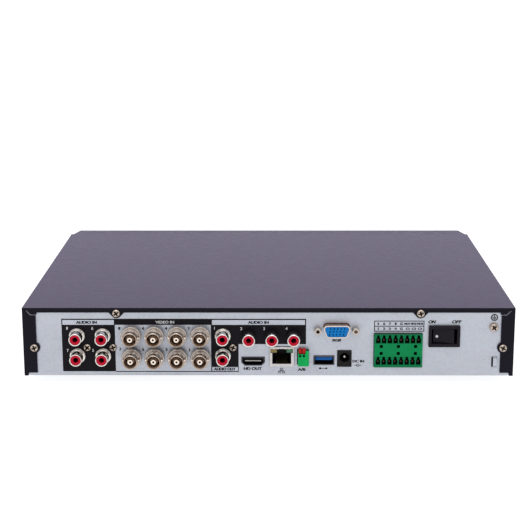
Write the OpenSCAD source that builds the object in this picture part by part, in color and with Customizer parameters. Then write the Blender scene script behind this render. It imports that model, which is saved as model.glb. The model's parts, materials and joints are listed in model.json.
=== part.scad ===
// Eight-channel digital video recorder in a slim sheet-metal case.
// +Z is up, -Y is the front bezel, +Y is the connector panel, and the origin is on the floor
// under the middle of the whole object. Millimetres.
//
// Rear parts are placed in the panel's own coordinates: [u, h, out], where u runs from the left edge
// as seen from behind, h is the height above the case's underside, and out points away from the case.

/* [Case] */
// Width of the case
case_w = 325; // [325:1:340]
// Depth of the metal box, without bezel and connectors
case_d = 227; // [227:1:240]
// Height of the metal box, without feet
case_h = 46.8; // [46.8:0.1:52]
// Thickness of the steel sheet
sheet = 1; // [0.8:0.1:1]
// Depth of the plastic front bezel
bezel_d = 18.3; // [18:0.1:24]
// Height of the rubber feet
foot_h = 6.7; // [5:0.1:10]

/* [Connectors] */
// How far the video jacks stand out of the rear panel
bnc_reach = 12.7; // [12:0.1:15]
// Distance between neighbouring video jacks
bnc_pitch = 15.24; // [15:0.01:15.5]
// Height of the lower row of video jacks
bnc_low_h = 12.8; // [12.5:0.1:13.5]
// How far the audio jacks stand out of the rear panel
rca_reach = 10.8; // [9:0.1:11]
// Radius of an audio jack's sleeve
rca_r = 4.15; // [4:0.05:4.2]
// Pitch of the alarm terminals
alarm_pitch = 3.81; // [3.5:0.01:3.81]

/* [Motion] */
// Angle that the power rocker turns between off and on
rocker_travel = 24; // [20:1:26]

/* [Hidden] */
$fn = 48;

// Levels along Y: bezel face, front of the metal, outer face of the rear panel, tips of the jacks.
total_d = bezel_d + case_d - sheet + bnc_reach;
bezel_y = -total_d / 2;
metal_y = bezel_y + bezel_d;
panel_y = metal_y + case_d - sheet;
gap = 0.2; // room between the tray and the cover around it
tray_w = case_w - 2 * (sheet + gap);
tray_h = case_h - sheet - gap;

// Circuit board under the rear connectors.
board_t = 1.6;
board_top = 6.3;
board_u = [20, 268];
board_depth = 110;
board_hole_r = 1.7;
board_holes = [for (u = [27, 151, 262], out = [-24, -104]) [u, out]];

// M3 pan-head screws.
screw_r = 1.4;
thread_gap = 0.05;
head_r = 2.75;
head_h = 1.9;

// Rear connectors, in panel coordinates.
bnc_u = [for (i = [0:3]) 71.8 + i * bnc_pitch];
bnc_h = [bnc_low_h, bnc_low_h + bnc_pitch - 0.1];
rca_stack_u = [35.75, 52.8, 132.35];
rca_stack_h = [13.55, 27.5];
rca_row = [[149.6, 27], [164.8, 27], [179.1, 27]];
rca_all = concat([for (u = rca_stack_u, h = rca_stack_h) [u, h]], rca_row);
stack_screw = [6.7, 19.5];
cover_screw_side = [7.3, 19.5];
cover_screw_top = [62.25, 43.2];
ground_screw = [311.3, 33.55];
vga = [207.6, 31.65];
vga_screw_x = 12.495;
hdmi = [152.35, 9.9];
lan_u = 171.35;
usb = [199.4, 10.6];
dc = [213.05, 12.75];
rs485_u = [183.5, 186];
alarm_mid_u = 248.45;
alarm_row_h = [8.2, 23];
switch_at = [278.75, 27.45];
collar_reach = 6; // how far the collars of the three single audio jacks stand out

// Hard disk, 3.5-inch size.
hdd = [147, 101.6, 25.1];
hdd_at = [-152, metal_y + 6, foot_h + sheet];
disk_at = [hdd_at[0] + 50.8, hdd_at[1] + hdd[1] / 2];
disk_r = 47.5;
arm_pivot = disk_at + [56, -22];
arm_park = 110.3;

// ---------- helpers ----------

module rear_face() {
    translate([case_w / 2, panel_y, foot_h]) rotate([90, 0, 180]) children();
}

// A box between two corners.
module span(a, b) {
    translate([min(a[0], b[0]), min(a[1], b[1]), min(a[2], b[2])])
        cube([abs(b[0] - a[0]), abs(b[1] - a[1]), abs(b[2] - a[2])]);
}

// Outline of a rectangle with rounded corners, centred.
function rounded(w, h, r, n = 4) = [
    for (c = [[w / 2 - r, h / 2 - r, 0], [r - w / 2, h / 2 - r, 90],
              [r - w / 2, r - h / 2, 180], [w / 2 - r, r - h / 2, 270]])
        for (i = [0:n]) [c[0] + r * cos(c[2] + 90 * i / n), c[1] + r * sin(c[2] + 90 * i / n)]];

// Outline of a D-sub shell: the sides lean in by 10 degrees towards the bottom.
function d_outline(w, h, r) = [
    for (c = [[w / 2 - r, h / 2 - r, -10, 90], [r - w / 2, h / 2 - r, 90, 190],
              [r - w / 2 + h * tan(10), r - h / 2, 190, 270],
              [w / 2 - r - h * tan(10), r - h / 2, 270, 350]])
        for (i = [0:3]) let (a = c[2] + (c[3] - c[2]) * i / 3) [c[0] + r * cos(a), c[1] + r * sin(a)]];

// HDMI outline: the lower corners are cut off at a slant. It grows by g on every side.
function hdmi_outline(g) = [
    [-7.45 - g, 2.75 + g], [7.45 + g, 2.75 + g], [7.45 + g, -0.7 - g * 0.4],
    [5.5 + g * 0.4, -2.75 - g], [-5.5 - g * 0.4, -2.75 - g], [-7.45 - g, -0.7 - g * 0.4]];

// Stretch along out, from one level to another, of a flat outline in [u, h].
module slab(from, to) {
    translate([0, 0, from]) linear_extrude(to - from) children();
}

module tube(r_out, r_in, from, to) {
    translate([0, 0, from]) difference() {
        cylinder(r = r_out, h = to - from);
        translate([0, 0, -1]) cylinder(r = r_in, h = to - from + 2);
    }
}

// Turns a profile drawn in [out, h] into a strip of the given width around u.
module strip(u, w) {
    translate([u - w / 2, 0, 0]) rotate([90, 0, 90]) mirror([1, -1]) linear_extrude(w) children();
}

// A pan-head screw along Z: its head, of radius r, sits on z = 0 and its shank goes down.
module pan_screw(shank, r = head_r) {
    difference() {
        rotate_extrude() polygon(concat(
            [[0, -shank], [screw_r - 0.3, -shank], [screw_r, 0.3 - shank], [screw_r, 0], [r, 0]],
            [for (i = [0:4]) let (a = 90 * i / 4)
                [r - 1.1 + 1.1 * cos(a), head_h - 1.1 + 1.1 * sin(a)]],
            [[0, head_h]]));
        for (a = [45, 135]) rotate([0, 0, a])
            translate([-1.55, -0.3, head_h - 1.1]) cube([3.1, 0.6, 2]);
    }
}

// Points of a smooth curve through the route's own points.
function curve(p, steps = 4) = [
    for (i = [0:len(p) - 2]) for (s = [0:steps - 1])
        let (t = s / steps, a = p[max(i - 1, 0)], b = p[i], c = p[i + 1], d = p[min(i + 2, len(p) - 1)])
        0.5 * (2 * b + (c - a) * t + (2 * a - 5 * b + 4 * c - d) * t * t
            + (3 * b - a - 3 * c + d) * t * t * t),
    p[len(p) - 1]];

function unit(v) = v / norm(v);

// Directions across the curve, turned as little as possible from one ring to the next.
function carried(dirs, i = 0, last = [0, 0, 1]) =
    let (d = dirs[i], n = unit(last - (last * d) * d))
    i == len(dirs) - 1 ? [n] : concat([n], carried(dirs, i + 1, n));

module wire(route, r, sides = 8) {
    p = curve(route);
    n = len(p);
    last = len(route) - 1;
    // Both ends are cut square to the route.
    dirs = [for (i = [0:n - 1]) i == 0 ? unit(route[1] - route[0])
        : i == n - 1 ? unit(route[last] - route[last - 1]) : unit(p[i + 1] - p[i - 1])];
    ups = carried(dirs);
    rings = [for (i = [0:n - 1]) for (k = [0:sides - 1])
        let (a = 360 * k / sides, side = cross(dirs[i], ups[i]))
        p[i] + r * (cos(a) * ups[i] + sin(a) * side)];
    caps = [[for (k = [0:sides - 1]) sides - 1 - k], [for (k = [0:sides - 1]) (n - 1) * sides + k]];
    walls = [for (i = [0:n - 2]) for (k = [0:sides - 1]) let (m = (k + 1) % sides)
        for (f = [[i * sides + k, i * sides + m, (i + 1) * sides + m],
                  [i * sides + k, (i + 1) * sides + m, (i + 1) * sides + k]]) f];
    polyhedron(concat(rings), concat(
        [for (f = caps) for (i = [1:sides - 2]) [f[0], f[i + 1], f[i]]],
        [for (f = walls) [f[0], f[2], f[1]]]));
}

// ---------- case ----------

// Everything cut out of the rear panel, as flat outlines in [u, h].
module panel_cutouts() {
    for (u = bnc_u, h = bnc_h) translate([u, h]) circle(r = 5.45);
    for (u = rca_stack_u, h = rca_stack_h) translate([u, h]) circle(r = 5.5);
    for (u = rca_stack_u) translate([u, 0] + stack_screw) circle(r = 1.6);
    for (p = rca_row) translate(p) circle(r = 5);
    for (p = [cover_screw_side, [case_w - cover_screw_side[0], cover_screw_side[1]], cover_screw_top,
              [case_w - cover_screw_top[0], cover_screw_top[1]], ground_screw])
        translate(p) circle(r = screw_r + thread_gap);
    translate(vga) polygon(d_outline(18, 9.3, 2.4));
    for (s = [-1, 1]) translate(vga + [s * vga_screw_x, 0]) circle(r = 1.7);
    translate(hdmi) polygon(hdmi_outline(0.4));
    translate([lan_u - 8.35, 6]) square([16.7, 14.2]);
    translate([181.5, 7.5]) square([8, 10.9]);
    translate(usb - [7, 3.3]) square([14, 6.6]);
    translate([208.1, 6]) square([9.7, 11.6]);
    translate([alarm_mid_u - 16.25, 6]) square([32.5, 23.4]);
    translate(switch_at - [9.65, 6.65]) square([19.3, 13.3]);
    translate([310.5, 6]) square([3.8, 7.2]);
}

module base_tray() color("#c3c8d2") {
    rear_face() {
        slab(-sheet, 0) difference() {
            translate([case_w / 2, tray_h / 2]) polygon(rounded(tray_w, tray_h, 3));
            panel_cutouts();
        }
        // Lanced loop for a cable tie.
        translate([311.4, 0, 0]) rotate([90, 0, 90]) linear_extrude(2.5) polygon(
            [[5.75, -0.5], [5.75, 0], [7, 1.9], [12.2, 1.9], [13.4, 0], [13.4, -0.5], [12.8, -0.5],
             [11.8, 1], [7.4, 1], [6.35, -0.5]]);
    }
    // Floor, with the disk's screw holes.
    translate([0, 0, foot_h]) linear_extrude(sheet) difference() {
        translate([-tray_w / 2 + 3, metal_y]) square([tray_w - 6, panel_y - metal_y]);
        for (p = hdd_screw_points()) translate(p) circle(r = 1.9);
        for (x = [20:12:140]) translate([x, metal_y + 60]) polygon(rounded(4, 40, 1.9));
    }
    // Side strips, joined to the floor, each with an upstand inside the cover.
    for (s = [-1, 1]) {
        span([s * (tray_w / 2 - 3.5), metal_y, foot_h],
             [s * tray_w / 2, panel_y - sheet, foot_h + sheet]);
        span([s * (tray_w / 2 - sheet), metal_y, foot_h],
             [s * tray_w / 2, panel_y - sheet / 2, foot_h + 14]);
    }
    // Front wall, with the window for the front board and slots for the bezel's hooks.
    translate([0, metal_y + sheet, foot_h]) rotate([90, 0, 0]) linear_extrude(sheet) difference() {
        translate([-tray_w / 2, 0]) square([tray_w, tray_h]);
        translate([54, 12]) square([100, 20]);
        for (x = [-150, -50, 50], h = [5, 39]) translate([x - 4.2, h]) square([8.4, 2.6]);
    }
}

// One side's rear flange and half of the top flange, in [u, h] from the left edge. A slanting slit
// parts the two at the corner.
module left_flanges() {
    under_top = case_h - 3.2;
    difference() {
        union() {
            polygon([[0, 0], [2.7, 0], [2.7, 2.1], [8.9, 2.1], [8.9, 41.45], [5.35, 41.45],
                     [2.45, 44.5], [2.95, 45], [5.8, 42.15], [9.6, 42.15], [9.6, under_top],
                     [case_w / 2, under_top], [case_w / 2, case_h], [0, case_h]]);
            translate(cover_screw_side) circle(r = 3.8);
            translate(cover_screw_top) {
                circle(r = 3.5);
                polygon([[-5.2, 0.5], [-2.8, -2.1], [2.8, -2.1], [5.2, 0.5]]);
            }
        }
        for (p = [cover_screw_side, cover_screw_top]) translate(p) circle(r = 1.7);
    }
}

module top_cover() color("#2a282e") {
    top_z = foot_h + case_h;
    span([-case_w / 2, metal_y, top_z - sheet], [case_w / 2, panel_y + sheet / 2, top_z]);
    for (s = [-1, 1]) translate([s > 0 ? case_w / 2 - sheet : -case_w / 2, 0, 0])
        rotate([90, 0, 90]) linear_extrude(sheet) difference() {
            translate([metal_y, foot_h]) square([panel_y + sheet / 2 - metal_y, case_h]);
            for (y = [metal_y + 40:15:metal_y + 190], h = [22, 28, 34])
                translate([y, foot_h + h]) polygon(rounded(11, 2.4, 1.1));
        }
    rear_face() slab(0, sheet) {
        left_flanges();
        translate([case_w, 0]) mirror([1, 0]) left_flanges();
    }
}

module rubber_feet() color("#151515") {
    for (x = [-1, 1], y = [metal_y + 38, panel_y - 36]) translate([x * 128, y, 0])
        rotate_extrude() polygon([[2.4, 1.6], [3.4, 0.2], [3.8, 0], [8.6, 0], [9.3, 0.8],
                                  [9.9, foot_h], [2.4, foot_h]]);
}

module cover_screws() color("#cfc9c0") rear_face() {
    for (p = [cover_screw_side, [case_w - cover_screw_side[0], cover_screw_side[1]],
              cover_screw_top, [case_w - cover_screw_top[0], cover_screw_top[1]]])
        translate([p[0], p[1], sheet]) pan_screw(6, 2.6);
}

module panel_screws() color("#cfc9c0") rear_face() {
    for (u = rca_stack_u) translate([u + stack_screw[0], stack_screw[1], 0]) pan_screw(9, 2.45);
    translate([ground_screw[0], ground_screw[1], 0.8]) pan_screw(7);
    translate([ground_screw[0], ground_screw[1], 0]) tube(3, 1.6, 0, 0.8);
}

// ---------- front ----------

front_h = 17.4; // underside of the front board, above the case's underside
guide_x = [88, 97, 106];
front_usb_x = 70;
ir_x = 132;

module front_bezel() color("#1d1c20") {
    w = case_w / 2 - 0.4;
    difference() {
        translate([0, 0, foot_h + 0.4]) linear_extrude(case_h - 0.9)
            polygon([[-w, metal_y], [-w + 0.8, metal_y - 1.5], [-w + 5, bezel_y + 0.8],
                     [-w + 6, bezel_y], [w - 6, bezel_y], [w - 5, bezel_y + 0.8],
                     [w - 0.8, metal_y - 1.5], [w, metal_y]]);
        translate([0, 0, foot_h + 2.6]) linear_extrude(case_h - 5.2)
            polygon([[2 - w, metal_y + 1], [2 - w, metal_y - 0.6], [7.2 - w, bezel_y + 2.2],
                     [w - 7.2, bezel_y + 2.2], [w - 2, metal_y - 0.6], [w - 2, metal_y + 1]]);
        // Slanted edges along the top and bottom of the face.
        for (m = [0, 1]) translate([0, bezel_y, foot_h + case_h / 2 - 0.05]) mirror([0, 0, m])
            rotate([90, 0, 90]) linear_extrude(case_w, center = true)
                polygon([[-1, 16], [0, 16], [2.2, 26], [-1, 26]]);
        // Dividing groove.
        span([-w, bezel_y - 1, foot_h + 12.4], [w, bezel_y + 0.7, foot_h + 13.4]);
        for (x = guide_x) translate([x, bezel_y - 1, foot_h + front_h + 3.8])
            rotate([-90, 0, 0]) cylinder(r = 1.3, h = 5);
        span([front_usb_x - 7.2, bezel_y - 1, foot_h + front_h + 1.2],
             [front_usb_x + 7.2, bezel_y + 4, foot_h + front_h + 8.2]);
        span([ir_x - 11, bezel_y - 1, foot_h + front_h + 0.2],
             [ir_x + 11, bezel_y + 4, foot_h + front_h + 9.2]);
    }
    // Rails under the front board.
    for (x = [57, 150.5])
        span([x - 1.2, bezel_y + 2.1, foot_h + 2.5], [x + 1.2, metal_y - 0.5, foot_h + front_h]);
    // Hooks that snap into the tray's front wall.
    for (x = [-150, -50, 50]) {
        span([x - 4, metal_y - 4, foot_h + 2.5], [x + 4, metal_y - 2, foot_h + 6.6]);
        span([x - 4, metal_y - 4, foot_h + 5.2], [x + 4, metal_y + 2.6, foot_h + 6.6]);
        span([x - 4, metal_y - 4, foot_h + 40], [x + 4, metal_y - 2, foot_h + case_h - 2.5]);
        span([x - 4, metal_y - 4, foot_h + 39.6], [x + 4, metal_y + 2.6, foot_h + 41]);
    }
}

module light_guides() color("#dfe6e0") {
    for (x = guide_x) translate([x, bezel_y + 0.5, foot_h + front_h + 3.8]) rotate([-90, 0, 0])
        rotate_extrude() polygon([[0, -0.4], [0.7, -0.25], [1.22, 0.1], [1.22, 4.8], [0, 4.8]]);
}

module ir_window() color("#3a1418") {
    span([ir_x - 10.9, bezel_y + 0.3, foot_h + front_h + 0.3],
         [ir_x + 10.9, bezel_y + 2, foot_h + front_h + 9.1]);
}

module front_board() color("#1d5a36") {
    span([55.8, bezel_y + 6, foot_h + front_h], [151.7, metal_y + 22, foot_h + front_h + board_t]);
}

module front_board_parts() color("#2b2b2b") {
    top = foot_h + front_h + board_t;
    for (x = guide_x) span([x - 1.6, bezel_y + 6.2, top], [x + 1.6, bezel_y + 8.6, top + 3.4]);
    span([ir_x - 3, bezel_y + 7, top], [ir_x + 3, bezel_y + 11, top + 6.2]);
    span([90, metal_y + 12, top], [110, metal_y + 18, top + 6]);
    for (x = [80, 120, 126]) span([x - 2, metal_y + 4, top], [x + 2, metal_y + 8, top + 1.2]);
}

// A USB A receptacle along -Z from its mouth at z = 0, with its middle at [0, 0].
module usb_receptacle_shell(deep) {
    w = 6.6;
    h = 2.9;
    difference() {
        slab(-deep, 0) square([2 * w, 2 * h], center = true);
        slab(0.35 - deep, 1) square([2 * w - 0.7, 2 * h - 0.7], center = true);
    }
    // Turned-out lips of the mouth.
    slab(-0.4, 0) difference() {
        square([2 * w + 0.4, 2 * h + 0.4], center = true);
        square([2 * w - 0.7, 2 * h - 0.7], center = true);
    }
}

module usb_receptacle_tongue(deep) {
    span([-5.6, -0.1, 0.35 - deep], [5.6, 1.9, -1.6]);
    span([-6.2, -2.5, 0.35 - deep], [6.2, 2.5, 3 - deep]);
}

module front_usb_place() {
    translate([front_usb_x, bezel_y + 0.6, foot_h + front_h + board_t + 3.3]) rotate([90, 0, 0]) children();
}

module front_usb_shell() color("#b9bcc2") front_usb_place() {
    usb_receptacle_shell(14);
    for (s = [-1, 1]) span([s * 6.6, -3.3, -12], [s * 6.2, -2.8, -8]);
}

module front_usb_tongue() color("#202020") front_usb_place() usb_receptacle_tongue(14);

// ---------- main board ----------

module main_board() color("#1d5a36") rear_face() {
    translate([0, board_top - board_t, 0]) rotate([-90, 0, 0]) linear_extrude(board_t) difference() {
        translate([board_u[0], 1.2]) square([board_u[1] - board_u[0], board_depth]);
        for (p = board_holes) translate([p[0], -p[1]]) circle(r = board_hole_r);
    }
}

// Puts children on the board at [u, out], with their Z up.
module on_board(p) {
    rear_face() translate([p[0], board_top, p[1]]) rotate([-90, 0, 0]) children();
}

module board_standoffs() color("#c9b56a") {
    for (p = board_holes) on_board(p) translate([0, 0, sheet - board_top]) difference() {
        cylinder(r = 3, h = board_top - board_t - sheet, $fn = 6);
        translate([0, 0, -1]) cylinder(r = screw_r + thread_gap, h = 8);
    }
}

module board_screws() color("#cfc9c0") {
    for (p = board_holes) on_board(p) pan_screw(4.6);
}

module chip(p, w, d, h) {
    on_board(p) translate([-w / 2, -d / 2, 0]) cube([w, d, h]);
}

module processor() color("#26262a") chip([118, -66], 23, 23, 2);

module heatsink() color("#8d9299") on_board([118, -66]) {
    translate([-20, -20, 2]) rotate([90, 0, 90]) linear_extrude(40) {
        square([40, 3]);
        for (i = [0:9]) translate([i * 4.2, 2]) square([1.6, 16]);
    }
}

module board_chips() color("#26262a") {
    for (out = [-48, -64, -80]) chip([152, out], 9, 13, 1.2);
    chip([82, -64], 9, 13, 1.2);
    for (u = [78, 104]) chip([u, -30], 14, 14, 1.4);
    chip([46, -30], 8, 8, 1.2);
    chip([172, -36], 7, 7, 1);
    chip([205, -36], 6, 6, 1.5);
    chip([44, -72], 10, 10, 1.4);
}

module capacitors() color("#3b3f46") {
    for (p = [[216, -26], [226, -26], [192, -30], [66, -48], [218, -48], [229, -48]]) on_board(p)
        rotate_extrude() polygon([[0, 0], [3.6, 0], [4, 0.5], [3.7, 1.2], [4, 1.8], [4, 10.6],
                                  [3.6, 11], [0, 11]]);
}

module alarm_relays() color("#e8e6df") {
    for (u = [238, 247, 256]) chip([u, -44], 7.4, 15, 10);
}

module battery_clip() color("#202024") on_board([196, -66]) difference() {
    translate([-12, -12, 0]) cube([24, 24, 4.4]);
    translate([0, 0, 1]) cylinder(r = 10.2, h = 10);
    translate([-5, -14, 1]) cube([10, 10, 10]);
}

module clock_battery() color("#c4c7cc") on_board([196, -66]) translate([0, 0, 1])
    rotate_extrude() polygon([[0, 0], [8.6, 0], [8.8, 0.4], [10, 0.7], [10, 3.2], [0, 3.2]]);

socket_out = -105;
data_u = 134.5;
power_u = 104.5;
ribbon_u = 62.5;

module board_sockets() color("#e7e3d6") {
    chip([data_u, socket_out], 16, 6, 8);
    chip([power_u, socket_out], 12, 8, 7);
    chip([ribbon_u, socket_out], 20, 6, 6);
}

// ---------- video and audio jacks ----------

module bnc_housings() color("#17171a") rear_face() {
    for (u = bnc_u) slab(-16, -sheet) difference() {
        translate([u - 7.1, board_top]) square([14.2, 29.5]);
        for (h = bnc_h) translate([u, h]) circle(r = 5.05);
    }
}

module bnc_shell() {
    tip = bnc_reach;
    rotate_extrude() polygon([
        [2.45, -9], [5, -9], [5, -sheet], [5.2, -sheet], [5.2, 3.4], [6.4, 3.5], [6.65, 3.8],
        [6.65, 4.8], [6.4, 5.1], [5.6, 5.1], [5.6, 5.8], [4.83, 6], [4.83, tip - 0.4],
        [4.55, tip], [4.05, tip], [4.05, 4], [2.45, 3.4]]);
    for (s = [-1, 1]) rotate([0, s * 90, 0]) translate([s * (4.3 - tip), 0, 4.5]) cylinder(r = 1, h = 1.1);
}

module at_bnc() {
    rear_face() for (u = bnc_u, h = bnc_h) translate([u, h, 0]) children();
}

module bnc_shells() color("#b5aaa2") at_bnc() bnc_shell();

module bnc_insulators() color("#efe6dc") at_bnc() tube(2.4, 1.1, -9, bnc_reach - 0.4);

module bnc_contacts() color("#8a6a3a") at_bnc() tube(1.05, 0.68, -9, bnc_reach - 4);

rca_neck = 3.9; // radius of a single jack's sleeve inside its collar

module rca_housings() color("#17171a") rear_face() {
    for (u = rca_stack_u) difference() {
        span([u - 5.6, board_top, -13], [u + 9.6, 34.4, -sheet]);
        for (h = rca_stack_h) translate([u, h, -8]) cylinder(r = rca_r + 0.05, h = 10);
        translate([u + stack_screw[0], stack_screw[1], -11]) cylinder(r = screw_r + thread_gap, h = 12);
    }
    difference() {
        union() {
            span([142.6, 21.8, -13], [185, 33.8, -sheet]);
            for (u = [[142.6, 144.4], [161, 163], [180.2, 181.3]])
                span([u[0], board_top, -13], [u[1], 22, -3]);
            for (p = rca_row) translate([p[0], p[1], -2]) cylinder(r = 4.75, h = collar_reach + 2);
        }
        for (p = rca_row) translate([p[0], p[1], -8]) cylinder(r = rca_neck + 0.05, h = 20);
    }
}

module rca_shells() color("#d8d2cc") rear_face() {
    tip = rca_reach;
    for (u = rca_stack_u, h = rca_stack_h) translate([u, h, 0]) rotate_extrude() polygon([
        [3.4, -7], [rca_r, -7], [rca_r, -sheet], [5.3, -sheet], [5.3, 0.9], [5, 1.2], [4.9, 1.2],
        [4.9, 2.4], [rca_r, 2.8], [rca_r, tip - 0.3], [3.95, tip], [3.4, tip]]);
    for (p = rca_row) translate([p[0], p[1], 0]) rotate_extrude() polygon([
        [3.4, -7], [rca_neck, -7], [rca_neck, collar_reach], [rca_r, collar_reach + 0.1],
        [rca_r, tip - 0.3], [3.95, tip], [3.4, tip]]);
}

module rca_insulators() color("#c21f2e") rear_face() {
    for (p = rca_all) translate([p[0], p[1], 0]) rotate_extrude() polygon([
        [2.25, -7], [3.37, -7], [3.37, rca_reach - 0.5], [1.95, rca_reach - 0.5],
        [1.65, rca_reach - 0.9], [1.65, 0], [2.25, 0]]);
}

module rca_contacts() color("#b9bcc2") rear_face() {
    for (p = rca_all) translate([p[0], p[1], 0]) tube(2.2, 1.65, -7, -0.1);
}

// ---------- display, network and data ports ----------

module at_vga() {
    rear_face() translate([vga[0], vga[1], 0]) children();
}

module vga_shell() color("#c9cbcf") at_vga() {
    difference() {
        union() {
            span([-17.5, -6.2, -1.8], [15.3, 6.2, -sheet]);
            slab(-1.8, 5.6) polygon(d_outline(17.3, 8.6, 2.2));
            for (u = [[-17.5, -16.2], [14, 15.3]])
                span([u[0], board_top - vga[1], -9], [u[1], 6.2, -sheet]);
        }
        slab(-3, 7) polygon(d_outline(15.9, 7.1, 1.7));
        for (s = [-1, 1]) translate([s * vga_screw_x, 0, -4]) cylinder(r = 1.6, h = 5);
    }
}

module vga_insulator() color("#1469c8") at_vga() {
    difference() {
        union() {
            slab(-1.9, 5.1) polygon(d_outline(15.8, 7, 1.65));
            span([-15, -6, -11], [13.4, 6, -1.8]);
        }
        for (row = [-1:1], i = [-2:2])
            translate([i * 2.29 + row * 0.4 + 0.1, row * 1.98, 0.5]) cylinder(r = 0.5, h = 8);
        for (s = [-1, 1]) translate([s * vga_screw_x, 0, -12]) cylinder(r = 1.7, h = 12);
    }
}

module vga_jackscrews() color("#d3d0c8") at_vga() {
    for (s = [-1, 1]) translate([s * vga_screw_x, 0, 0]) difference() {
        union() {
            cylinder(r = 2.6, h = 4.6, $fn = 6);
            cylinder(r = 2.2, h = 5.2);
            translate([0, 0, -5]) cylinder(r = 1.4, h = 5.2);
        }
        translate([0, 0, -0.2]) cylinder(r = 1.2, h = 7);
    }
}

module at_hdmi() {
    rear_face() translate([hdmi[0], hdmi[1], 0]) children();
}

module hdmi_shell() color("#b9bcc2") at_hdmi() {
    difference() {
        slab(-11, 0.8) polygon(hdmi_outline(0));
        slab(-10.6, 2) polygon(hdmi_outline(-0.35));
    }
    for (s = [-1, 1], out = [-10, -4])
        span([s * 5, board_top - hdmi[1], out], [s * 4.5, -2.6, out + 1.6]);
}

module hdmi_tongue() color("#141416") at_hdmi() {
    span([-5.5, 0.1, -10.5], [5.5, 1.2, -0.6]);
    span([-6.9, -0.5, -10.5], [6.9, 2.3, -7.5]);
}

module at_lan() {
    rear_face() translate([lan_u, 0, 0]) children();
}

module lan_shield() color("#cfd0d2") at_lan() {
    difference() {
        span([-8.15, board_top, -20], [8.15, 19.9, 1]);
        span([-7.85, board_top + 0.3, -19.7], [7.85, 19.6, 0.7]);
        span([-6.25, 8.3, 0], [6.25, 16, 2]);
        span([-7.5, 15.9, 0], [7.5, 18.7, 2]);
    }
}

module lan_insert() color("#101012") at_lan() difference() {
    span([-7.8, board_top + 0.35, -19.6], [7.8, 19.55, 0.65]);
    span([-6.1, 8.4, -12], [6.1, 15.8, 2]);
    span([-3, 15.7, -12], [3, 18.6, 2]);
    for (s = [-1, 1]) span([s * 3.25, 15.95, -5], [s * 7.45, 18.65, 2]);
}

// Eight spring contacts that slope up from the socket's floor to its back wall.
module lan_contacts() color("#c9a24a") at_lan() {
    for (i = [0:7]) strip((i - 3.5) * 1.02, 0.4)
        polygon([[-12, 11.3], [-2.6, 8.45], [-2.2, 8.45], [-2.2, 8.7], [-12, 11.65]]);
}

module lan_lights() color("#d8b23c") at_lan() {
    for (s = [-1, 1]) span([s * 3.3, 16, -4.9], [s * 7.4, 18.6, 0.6]);
}

module usb_shell() color("#b9bcc2") rear_face() translate([usb[0], usb[1], 0.95]) {
    usb_receptacle_shell(15);
    for (s = [-1, 1], out = [-13, -4])
        span([s * 6.6, board_top - usb[1], out], [s * 6.2, -2.8, out + 1.6]);
}

module usb_tongue() color("#1565c0")
    rear_face() translate([usb[0], usb[1], 0.95]) usb_receptacle_tongue(15);

module dc_jack_body() color("#1a1a1d") rear_face() difference() {
    span([208.4, board_top, -13], [217.5, 17.3, 1.3]);
    translate([dc[0], dc[1], -9]) cylinder(r = 3.15, h = 12);
    translate([dc[0], dc[1], 0.9]) cylinder(r1 = 3.15, r2 = 3.7, h = 0.5);
}

module dc_jack_pin() color("#d5d2c8") rear_face() translate([dc[0], dc[1], 0])
    rotate_extrude() polygon([[0, -9], [1.02, -9], [1.02, -1.2], [0.8, -0.6], [0.4, -0.4], [0, -0.4]]);

// ---------- terminals ----------

lever_w = 2;
lever_pivot = [17, -5.5]; // [h, out]
lever_pivot_r = 0.6;
lever_pocket = [182.35, 187.15];

module rs485_body() color("#12a05a") rear_face() {
    difference() {
        union() {
            span([181.8, board_top, -9], [189.6, 18.2, -1.1]);
            span([182.1, 7.7, -1.2], [189.3, 18.2, 4.5]);
        }
        // Pocket that the two levers move in, and the open front above the wire holes.
        span([lever_pocket[0], 13.4, -7.8], [lever_pocket[1], 20, 3.7]);
        span([lever_pocket[0], 16, 0], [lever_pocket[1], 20, 5]);
        for (u = rs485_u) translate([u, 14.8, 3]) cylinder(r = 0.85, h = 4);
    }
    translate([182, lever_pivot[0], lever_pivot[1]]) rotate([0, 90, 0]) cylinder(r = lever_pivot_r, h = 6);
}

module rs485_lever(u) {
    rear_face() difference() {
        union() {
            translate([u - lever_w / 2, lever_pivot[0], lever_pivot[1]]) rotate([0, 90, 0])
                cylinder(r = 1.4, h = lever_w);
            span([u - lever_w / 2, 15.9, -5.5], [u + lever_w / 2, 17.4, 1]);
            span([u - lever_w / 2, 16.1, 0.4], [u + lever_w / 2, 19.2, 3.4]);
        }
        translate([u - 3, lever_pivot[0], lever_pivot[1]]) rotate([0, 90, 0])
            cylinder(r = lever_pivot_r + 0.06, h = 6);
        for (i = [1:3]) span([u - 3, 18.95, i * 0.9], [u + 3, 20, i * 0.9 + 0.4]);
    }
}

module rs485_lever_a() color("#d3261c") rs485_lever(rs485_u[0]);

module rs485_lever_b() color("#d3261c") rs485_lever(rs485_u[1]);

function alarm_u(i) = alarm_mid_u + (i - 3.5) * alarm_pitch;

// Keyed mouth of one terminal: a wide slot with a narrow neck on top.
module terminal_mouth() {
    polygon([[-1.5, 0], [1.5, 0], [1.5, 2.9], [0.85, 3.9], [0.85, 5.5], [-0.85, 5.5],
             [-0.85, 3.9], [-1.5, 2.9]]);
}

module alarm_header() color("#0f8f50") rear_face() {
    difference() {
        slab(-12, 2.4) translate([alarm_mid_u - 15.95, board_top]) square([31.9, 22.9]);
        for (i = [0:7], h = alarm_row_h) translate([alarm_u(i), h, 0]) slab(-6, 5) terminal_mouth();
        for (i = [-1:1], h = [16, 20.85]) translate([alarm_mid_u + i * 11.3, h, 1.9])
            cube([2.1, 2.1, 10], center = true);
    }
}

module alarm_header_pins() color("#cdb98a") rear_face() {
    for (i = [0:7], h = alarm_row_h)
        span([alarm_u(i) - 0.5, h + 1.3, -6], [alarm_u(i) + 0.5, h + 2.3, 0.6]);
}

// ---------- power switch ----------

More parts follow.
